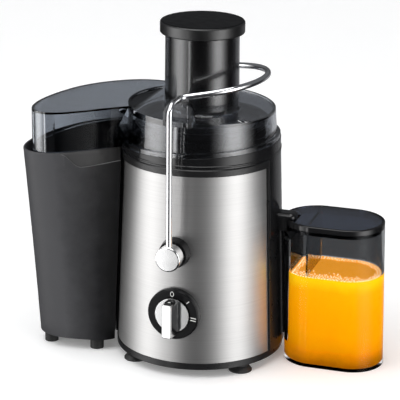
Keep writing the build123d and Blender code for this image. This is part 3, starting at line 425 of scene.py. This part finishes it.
def loops_to_shell(bm, loops, close_first=True, close_last=True):
    """Skin closed loops of equal length, with caps."""
    rings = [[bm.verts.new(p) for p in loop] for loop in loops]
    n = len(rings[0])
    for a, b in zip(rings, rings[1:]):
        for i in range(n):
            j = (i + 1) % n
            bm.faces.new((a[i], a[j], b[j], b[i]))
    if close_first:
        bm.faces.new(list(reversed(rings[0])))
    if close_last:
        bm.faces.new(rings[-1])
    return rings


Z_JUG, T_JUG = 0.140, 0.0023


def jug_loop(z, grow, n=48, flat=None):
    """Round-ended outline of the jug at height z, optionally cut flat at the grip end."""
    k = z / Z_JUG
    cx = AX + 0.1343 + (0.1309 - 0.1343) * k
    length = 0.0986 + (0.0988 - 0.0986) * k + 2 * grow
    width = 0.064 + (0.0694 - 0.064) * k + 2 * grow
    r, half = width / 2, length / 2 - width / 2
    pts = []
    for side in (1, -1):
        for i in range(n + 1):
            a = -math.pi / 2 + math.pi * i / n
            pts.append((cx + side * (half + r * math.cos(a)), JUG_Y + side * r * math.sin(a), z))
    if flat is not None:
        pts = [(max(x, flat), y, zz) for x, y, zz in pts]
    return pts


Z_FILL = 0.0925
FLAT = AX + 0.0932        # the juice wets the wall, so it reaches a little into it


def make_juice():
    bm = bmesh.new()
    g = -(T_JUG - 0.0004)
    levels = [0.0028, 0.0031, 0.006, 0.012, 0.0172]
    loops = [jug_loop(z, g - (0.0004 if z < 0.0030 else 0.0)) for z in levels]
    loops += [jug_loop(0.0173 + (Z_FILL - 0.0173) * k / 12, g, flat=FLAT) for k in range(13)]
    rim = jug_loop(Z_FILL + 0.0007, g, flat=FLAT)
    cx = sum(p[0] for p in rim) / len(rim)
    loops.append(rim)
    for f, dz in ((0.97, 0.0002), (0.92, -0.0001), (0.8, -0.0002), (0.5, -0.0002), (0.2, -0.0002)):
        loops.append([(cx + (x - cx) * f, JUG_Y + (y - JUG_Y) * f, Z_FILL + dz) for x, y, z in rim])
    loops_to_shell(bm, loops)
    o = piece("juice", bm, M["juice"], "jug")
    o.data.materials.append(M["juice_top"])
    for p in o.data.polygons:
        rim_front = p.center.y < JUG_Y - 0.0255
        p.material_index = 1 if p.normal.z > 0.5 and p.center.z > Z_FILL - 0.001 and not rim_front else 0
    o.visible_glossy = False
    return o


def make_foam():
    """Bubbles along the edge of the juice, with a few rafts further in."""
    bm = bmesh.new()
    g = -(T_JUG + 0.0003)
    rim = jug_loop(Z_FILL, g, n=40, flat=AX + 0.0953)
    cx = sum(p[0] for p in rim) / len(rim)
    spots = []

    def put(x, y, r, gap):
        """A bubble where there is room for it."""
        if all(math.hypot(x - a, y - b) > r + c + gap for a, b, c in spots):
            spots.append((x, y, r))

    for i, (x, y, z) in enumerate(rim):
        x1, y1, _ = rim[(i + 1) % len(rim)]
        steps = max(1, int(math.hypot(x1 - x, y1 - y) / 0.0006))
        for s in range(steps):
            t = s / steps
            px, py = x + (x1 - x) * t, y + (y1 - y) * t
            d = math.hypot(cx - px, JUG_Y - py)
            r = rng.uniform(0.0007, 0.0012)
            k = (r + 0.0002) / d
            put(px + (cx - px) * k, py + (JUG_Y - py) * k, r, 0.0010)
    sides = [(rim[i], rim[(i + 1) % len(rim)]) for i in range(len(rim))]
    spans = [math.hypot(b[0] - a[0], b[1] - a[1]) for a, b in sides]
    for a, b in rng.choices(sides, spans, k=1500):
        t = rng.random()
        x, y = a[0] + (b[0] - a[0]) * t, a[1] + (b[1] - a[1]) * t
        inward = 0.0028 + abs(rng.gauss(0, 0.0012 if y > JUG_Y - 0.02 else 0.006))
        k = min(0.9, inward / math.hypot(cx - x, JUG_Y - y))
        put(x + (cx - x) * k, y + (JUG_Y - y) * k, rng.uniform(0.0004, 0.0009), 0.0005)
    for x, y, r in spots:
        m = Matrix.Translation((x, y, Z_FILL + r * 0.45)) @ Matrix.Diagonal((1, 1, 0.8, 1))
        bmesh.ops.create_icosphere(bm, subdivisions=1, radius=r, matrix=m)
    o = piece("juice_foam", bm, M["foam"], "jug", smooth=180)
    o.data.materials.append(M["foam_back"])
    for p in o.data.polygons:
        p.material_index = 1 if p.center.y > JUG_Y - 0.025 else 0
    return o


make_juice()
make_foam()

# pulp bin: outline of its rim and of its floor, from the front tip round to the back tip, mm from the motor axis
BIN_RIM = [(-67.9, -41.2), (-80, -50.5), (-87.5, -57), (-95, -64), (-103, -70.5), (-111, -76.3), (-119, -81),
           (-127, -83.8), (-136, -84.2), (-145, -82.2), (-153, -76.5), (-158, -68), (-160.5, -57), (-161, -44),
           (-159.5, -28), (-156, -12), (-151, 3), (-145, 17.5), (-138, 30.5), (-129, 42), (-119, 51.5),
           (-107, 60), (-95, 66), (-83, 70), (-72, 71.5)]
BIN_FOOT = [(-77.2, -38.2), (-85, -45), (-92, -47.6), (-98, -49), (-104, -50), (-110, -51), (-116, -51.8), (-123, -52.2),
            (-131, -52), (-139, -50.3), (-147, -46.8), (-153, -42), (-157, -35.5), (-158.6, -27), (-158, -15),
            (-155.5, -3), (-151, 9), (-145, 20), (-138, 30), (-129, 39), (-119, 46.5), (-108, 52.5), (-97, 56.5),
            (-87, 58.6), (-77, 58.5)]
Z_BIN, Z_RIM, T_BIN = 11.0, 212.0, 2.2
GAP_LOW, GAP_RIM = 85.6, 79.2
# lower edge of the recessed band below the rim: column, height
BAND = [(0, 199.0), (1, 197.4), (2, 196.6), (3, 196.1), (3.5, 196.0), (3.75, 196.6), (4, 198.0), (4.25, 200.2), (4.5, 203.0),
        (4.75, 205.8), (5, 208.3), (5.25, 210.1), (5.5, 210.7), (6, 210.9), (24, 210.9)]


def smooth_line(pts):
    """Natural cubic through the points; the parameter counts the points."""
    y = np.array(pts, float)
    n = len(y)
    a = np.zeros((n, n))
    b = np.zeros_like(y)
    a[0, 0] = a[-1, -1] = 1
    for i in range(1, n - 1):
        a[i, i - 1], a[i, i], a[i, i + 1] = 1, 4, 1
        b[i] = 6 * (y[i - 1] - 2 * y[i] + y[i + 1])
    m = np.linalg.solve(a, b)

    def at(t):
        i = min(int(t), n - 2)
        u = t - i
        return ((1 - u) ** 3 * m[i] + u ** 3 * m[i + 1]) / 6 + (y[i] - m[i] / 6) * (1 - u) + (y[i + 1] - m[i + 1] / 6) * u

    return at


def make_bin():
    rim, foot = smooth_line(BIN_RIM), smooth_line(BIN_FOOT)
    last = len(BIN_RIM) - 1
    cols = [i / 8 for i in range(last * 8 + 1)]

    def wall(t, z, depth):
        """Outer wall at column t, moved inward by depth."""
        k = (z - Z_BIN) / (Z_RIM - Z_BIN)
        e = 0.02
        p = foot(t) * (1 - k) + rim(t) * k
        q0, q1 = max(0, t - e), min(last, t + e)
        d = (foot(q1) - foot(q0)) * (1 - k) + (rim(q1) - rim(q0)) * k
        d = d / np.hypot(*d)
        return p + np.array((d[1], -d[0])) * depth

    def loop(z_of, depth_of, gap, squeeze=0.0):
        """Closed loop: outer wall, back tip, wall round the body, front tip."""
        pts = []
        for t in cols:
            u = squeeze + t / last * (last - 2 * squeeze)
            z = z_of(t)
            p = wall(u, z, depth_of(t))
            pts.append((p[0], p[1], z))
        a, b = pts[0], pts[-1]
        z = z_of(last)
        k = (z - Z_BIN) / (Z_RIM - Z_BIN)
        r = GAP_LOW + (GAP_RIM - GAP_LOW) * k + gap
        a1, b1 = math.atan2(a[1], a[0]), math.atan2(b[1], b[0])
        a1 = a1 + 2 * math.pi if a1 < 0 else a1
        e, s0 = (r * math.cos(b1), r * math.sin(b1)), (r * math.cos(a1), r * math.sin(a1))
        for i in range(1, 4):
            pts.append((b[0] + (e[0] - b[0]) * i / 4, b[1] + (e[1] - b[1]) * i / 4, b[2]))
        for i in range(41):
            g = b1 + (a1 - b1) * i / 40
            pts.append((r * math.cos(g), r * math.sin(g), b[2] + (a[2] - b[2]) * i / 40))
        for i in range(1, 4):
            pts.append((s0[0] + (a[0] - s0[0]) * i / 4, s0[1] + (a[1] - s0[1]) * i / 4, a[2]))
        return [(AX + x * 0.001, y * 0.001, zz * 0.001) for x, y, zz in pts]

    bx, bz = [p[0] for p in BAND], [p[1] for p in BAND]

    def edge(t):
        return float(np.interp(t, bx, bz))

    def fade(t):
        return 1.0 - min(1.0, max(0.0, (t - 5.0) / 0.7))

    flat = lambda z: (lambda t: z)
    const = lambda d: (lambda t: d)
    loops = [loop(flat(Z_BIN), const(1.6), 1.0), loop(flat(Z_BIN + 0.3), const(0.6), 0.4), loop(flat(Z_BIN + 1.2), const(0.0), 0.0)]
    for i in range(1, 15):
        loops.append(loop(lambda t, i=i: Z_BIN + 1.2 + (edge(t) - 0.35 - Z_BIN - 1.2) * i / 14, const(0.0), 0.0))
    band_row = len(loops)
    loops.append(loop(lambda t: edge(t) - 0.1, lambda t: 0.2 * fade(t), 0.0))
    loops.append(loop(lambda t: edge(t) + 0.05, lambda t: 1.2 * fade(t), 0.0))
    for i in range(1, 5):
        loops.append(loop(lambda t, i=i: edge(t) + 0.05 + (Z_RIM - 0.75 - edge(t) - 0.05) * i / 4, lambda t: 1.2 * fade(t), 0.0))
    loops.append(loop(flat(Z_RIM - 0.22), lambda t: 1.2 * fade(t) + 0.2, 0.2))
    loops.append(loop(flat(Z_RIM), lambda t: 1.2 * fade(t) + 0.7, 0.7))
    loops.append(loop(flat(Z_RIM), const(T_BIN - 0.4), T_BIN - 0.5, 0.5))
    loops.append(loop(flat(Z_RIM - 0.5), const(T_BIN), T_BIN, 0.6))
    for z in (160, 110, 60, Z_BIN + 6):
        loops.append(loop(flat(z), const(T_BIN), T_BIN, 0.6))
    loops.append(loop(flat(Z_BIN + 3), const(T_BIN + 2.5), T_BIN + 2.5, 0.7))
    bm = bmesh.new()
    loops_to_shell(bm, loops)
    o = piece("pulp_bin_shell", bm, M["bin"], "pulp_bin", smooth=38)
    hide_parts("pulp_bin")
    # the band is smoother than the grained wall
    o.data.materials.append(M["bin_band"])
    o.data.materials.append(M["bin_edge_painted_highlight"])
    n = len(loops[0])
    for p in o.data.polygons:
        row, col = divmod(p.index, n)
        p.material_index = 1 if band_row <= row < band_row + 9 and col < 5.6 * 8 else 0
        # the ledge rows below the band are paler as a painted highlight
        if band_row - 1 <= row <= band_row and col < 5.5 * 8:
            p.material_index = 2
    return o


make_bin()

# marks on the dial: off, first and second speed
DIAL_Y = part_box("knob_bezel")[0].y
DIAL_Z = 0.065


def dial_point(deg, r, up=0.0, across=0.0):
    """Point on the dial face, degrees clockwise from the top as seen from the front."""
    a = math.radians(deg)
    ox, oz = math.sin(a), math.cos(a)
    return (AX + ox * (r + up) + oz * across, oz * (r + up) - ox * across + DIAL_Z)


def mark(name, polys):
    bm = bmesh.new()
    for poly in polys:
        front = [bm.verts.new((x, DIAL_Y - 0.00012, z)) for x, z in poly]
        back = [bm.verts.new((x, DIAL_Y + 0.0001, z)) for x, z in poly]
        n = len(poly)
        bm.faces.new(front)
        bm.faces.new(list(reversed(back)))
        for i in range(n):
            j = (i + 1) % n
            bm.faces.new((front[i], back[i], back[j], front[j]))
    return piece(name, bm, M["print"], "base", smooth=0)


def bar(deg, r, half_len, half_wid, across=0.0):
    return [dial_point(deg, r, u, across + w) for u, w in ((-half_len, -half_wid), (half_len, -half_wid), (half_len, half_wid), (-half_len, half_wid))]


def zero(deg, r):
    out = []
    n = 28
    for i in range(n):
        a0, a1 = 2 * math.pi * i / n, 2 * math.pi * (i + 1) / n
        quad = []
        for a, k in ((a0, 1.0), (a1, 1.0), (a1, 0.0), (a0, 0.0)):
            ru, rw = (0.0026, 0.0018) if k else (0.0021, 0.0013)
            quad.append(dial_point(deg, r, ru * math.cos(a), rw * math.sin(a)))
        out.append(quad)
    return out


mark("dial_mark_off", zero(-2, 0.0207))
mark("dial_mark_1", [bar(47, 0.0207, 0.0017, 0.00028)])
mark("dial_mark_2", [bar(97, 0.0207, 0.0027, 0.00036, across=s * 0.0013) for s in (1, -1)])


def pointer_dot():
    """White dot on the black insert of the knob."""
    lo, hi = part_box("knob_pointer")
    bm = bmesh.new()
    x, z = (lo.x + hi.x) / 2, hi.z
    m = Matrix.Translation((x, lo.y + 0.0036, z)) @ Matrix.Diagonal((1, 1, 0.12, 1))
    bmesh.ops.create_uvsphere(bm, u_segments=24, v_segments=12, radius=0.00125, matrix=m)
    return piece("pointer_dot", bm, M["print"], "knob", smooth=60)


pointer_dot()


# ------------------------------------------------------------ camera and stage
def camera():
    a, p, roll = math.radians(18) + 0.0006, 0.3201, 0.0089
    fwd = Vector((-math.sin(a) * math.cos(p), math.cos(a) * math.cos(p), -math.sin(p)))
    right = Vector((math.cos(a), math.sin(a), 0))
    up = right.cross(fwd)
    r2 = right * math.cos(roll) + up * math.sin(roll)
    u2 = up * math.cos(roll) - right * math.sin(roll)
    d = bpy.data.cameras.new("camera")
    d.sensor_fit = "HORIZONTAL"
    d.sensor_width = 36
    d.lens = 1873.45 / 400 * 36
    d.clip_start, d.clip_end = 0.05, 60
    c = bpy.data.objects.new("camera", d)
    m = Matrix((r2, u2, -fwd)).transposed().to_4x4()
    m.translation = (math.sin(math.radians(18)) * 1.73987 + AX, -math.cos(math.radians(18)) * 1.73987, 0.73542 - 0.005)
    c.matrix_world = m
    bpy.context.scene.collection.objects.link(c)
    bpy.context.scene.camera = c


camera()


def floor():
    bm = bmesh.new()
    bmesh.ops.create_grid(bm, x_segments=8, y_segments=8, size=9)
    me = bpy.data.meshes.new("floor")
    bm.to_mesh(me)
    bm.free()
    o = bpy.data.objects.new("floor", me)
    o.location.z = -0.0002
    bpy.context.scene.collection.objects.link(o)
    m = Mat("floor_white", (0.93, 0.93, 0.93), 0.55, Emission_Strength=0.17)
    m.b.inputs["Emission Color"].default_value = (1, 0.995, 0.985, 1)
    m.mottle(m.noise(3, 2), 0.004)
    m.roughen(m.noise(40, 3), 0.05)
    me.materials.append(m.m)
    o.visible_glossy = False
    o.visible_shadow = False
    o.visible_transmission = False


floor()


def backdrop():
    """White wall behind, seen only through the clear parts."""
    bm = bmesh.new()
    pts = [(-0.42, 0.0), (0.46, 0.0), (0.46, 0.27), (-0.42, 0.27)]
    bm.faces.new([bm.verts.new((x, 0.25 + 0.3 * x, z)) for x, z in pts])
    me = bpy.data.meshes.new("backdrop")
    bm.to_mesh(me)
    bm.free()
    o = bpy.data.objects.new("backdrop", me)
    bpy.context.scene.collection.objects.link(o)
    m = Mat("backdrop_white", (0.05, 0.05, 0.05), 0.6, Emission_Strength=0.85)
    m.b.inputs["Emission Color"].default_value = (1, 1, 1, 1)
    m.mottle(m.noise(3, 2), 0.004)
    me.materials.append(m.m)
    o.visible_camera = o.visible_glossy = o.visible_diffuse = o.visible_shadow = False


backdrop()


def softbox(name, at, target, size, power, tint=(1, 1, 1)):
    d = bpy.data.lights.new(name, "AREA")
    d.shape = "RECTANGLE"
    d.size, d.size_y = size
    d.energy = power
    d.color = tint
    o = bpy.data.objects.new(name, d)
    o.location = at
    o.rotation_mode = "QUATERNION"
    o.rotation_quaternion = (Vector(target) - Vector(at)).to_track_quat("-Z", "Y")
    bpy.context.scene.collection.objects.link(o)
    return o


def studio():
    """Dark below the horizon, a soft grey above it."""
    world = bpy.data.worlds.new("studio")
    bpy.context.scene.world = world
    world.use_nodes = True
    nt = world.node_tree
    bg = nt.nodes["Background"]
    sep = nt.nodes.new("ShaderNodeSeparateXYZ")
    ramp = nt.nodes.new("ShaderNodeValToRGB")
    coord = nt.nodes.new("ShaderNodeTexCoord")
    ramp.color_ramp.elements[0].position = 0.0
    ramp.color_ramp.elements[0].color = (0.03, 0.03, 0.032, 1)
    ramp.color_ramp.elements[1].position = 0.22
    ramp.color_ramp.elements[1].color = (0.13, 0.134, 0.142, 1)
    nt.links.new(coord.outputs["Generated"], sep.inputs["Vector"])
    nt.links.new(sep.outputs["Z"], ramp.inputs["Fac"])
    # white again low down behind the object, where only glancing reflections look
    away = nt.nodes.new("ShaderNodeMapRange")
    low = nt.nodes.new("ShaderNodeMapRange")
    for n, a, b in ((away, 0.72, 0.88), (low, 0.02, -0.08)):
        n.inputs["From Min"].default_value, n.inputs["From Max"].default_value = a, b
    both = nt.nodes.new("ShaderNodeMath")
    both.operation = "MULTIPLY"
    mix = nt.nodes.new("ShaderNodeMix")
    mix.data_type = "RGBA"
    nt.links.new(sep.outputs["Y"], away.inputs["Value"])
    nt.links.new(sep.outputs["Z"], low.inputs["Value"])
    nt.links.new(away.outputs["Result"], both.inputs[0])
    nt.links.new(low.outputs["Result"], both.inputs[1])
    nt.links.new(both.outputs["Value"], mix.inputs["Factor"])
    nt.links.new(ramp.outputs["Color"], mix.inputs[6])
    mix.inputs[7].default_value = (0.30, 0.30, 0.31, 1)
    nt.links.new(mix.outputs[2], bg.inputs["Color"])
    bg.inputs["Strength"].default_value = 1.0


def strip(name, az0, az1, z0, z1, dist, radiance):
    """Upright softbox between two azimuths, seen from the object; 0 is the front, positive to the right."""
    az = math.radians((az0 + az1) / 2)
    w = 2 * dist * math.tan(math.radians((az1 - az0) / 2))
    h = z1 - z0
    at = (math.sin(az) * dist, -math.cos(az) * dist, (z0 + z1) / 2)
    o = softbox(name, at, (0, 0, (z0 + z1) / 2), (w, h), radiance * math.pi * w * h)
    o.data.use_nodes = True
    nt = o.data.node_tree
    em = nt.nodes["Emission"]
    geo = nt.nodes.new("ShaderNodeNewGeometry")
    sep = nt.nodes.new("ShaderNodeSeparateXYZ")
    ramp = nt.nodes.new("ShaderNodeValToRGB")
    ramp.color_ramp.interpolation = "B_SPLINE"
    els = ramp.color_ramp.elements
    for p, v in ((0.1, 0.03), (0.25, 0.25), (0.4, 0.95), (0.5, 1.15), (0.6, 0.95), (0.75, 0.25), (0.9, 0.03)):
        els.new(p).color = (v, v, v, 1)
    els[0].color = els[-1].color = (0, 0, 0, 1)
    nt.links.new(geo.outputs["Parametric"], sep.inputs["Vector"])
    nt.links.new(sep.outputs["X"], ramp.inputs["Fac"])
    nt.links.new(ramp.outputs["Color"], em.inputs["Color"])
    return o


studio()
strip("strip_left", -98, -14, -0.75, 1.15, 1.6, 2.9)
strip("card_front", -28, -16.6, -0.75, 0.2, 1.6, 3.4)
strip("strip_right", 30, 106, -0.75, 1.15, 1.6, 3.1)
sun = bpy.data.lights.new("overhead", "SUN")
sun.energy = 2.5
sun.angle = math.radians(70)
sun_o = bpy.data.objects.new("overhead", sun)
sun_o.rotation_euler = (math.radians(12), math.radians(-10), 0)
bpy.context.scene.collection.objects.link(sun_o)

scene = bpy.context.scene
scene.view_settings.view_transform = "Standard"
scene.view_settings.look = "None"
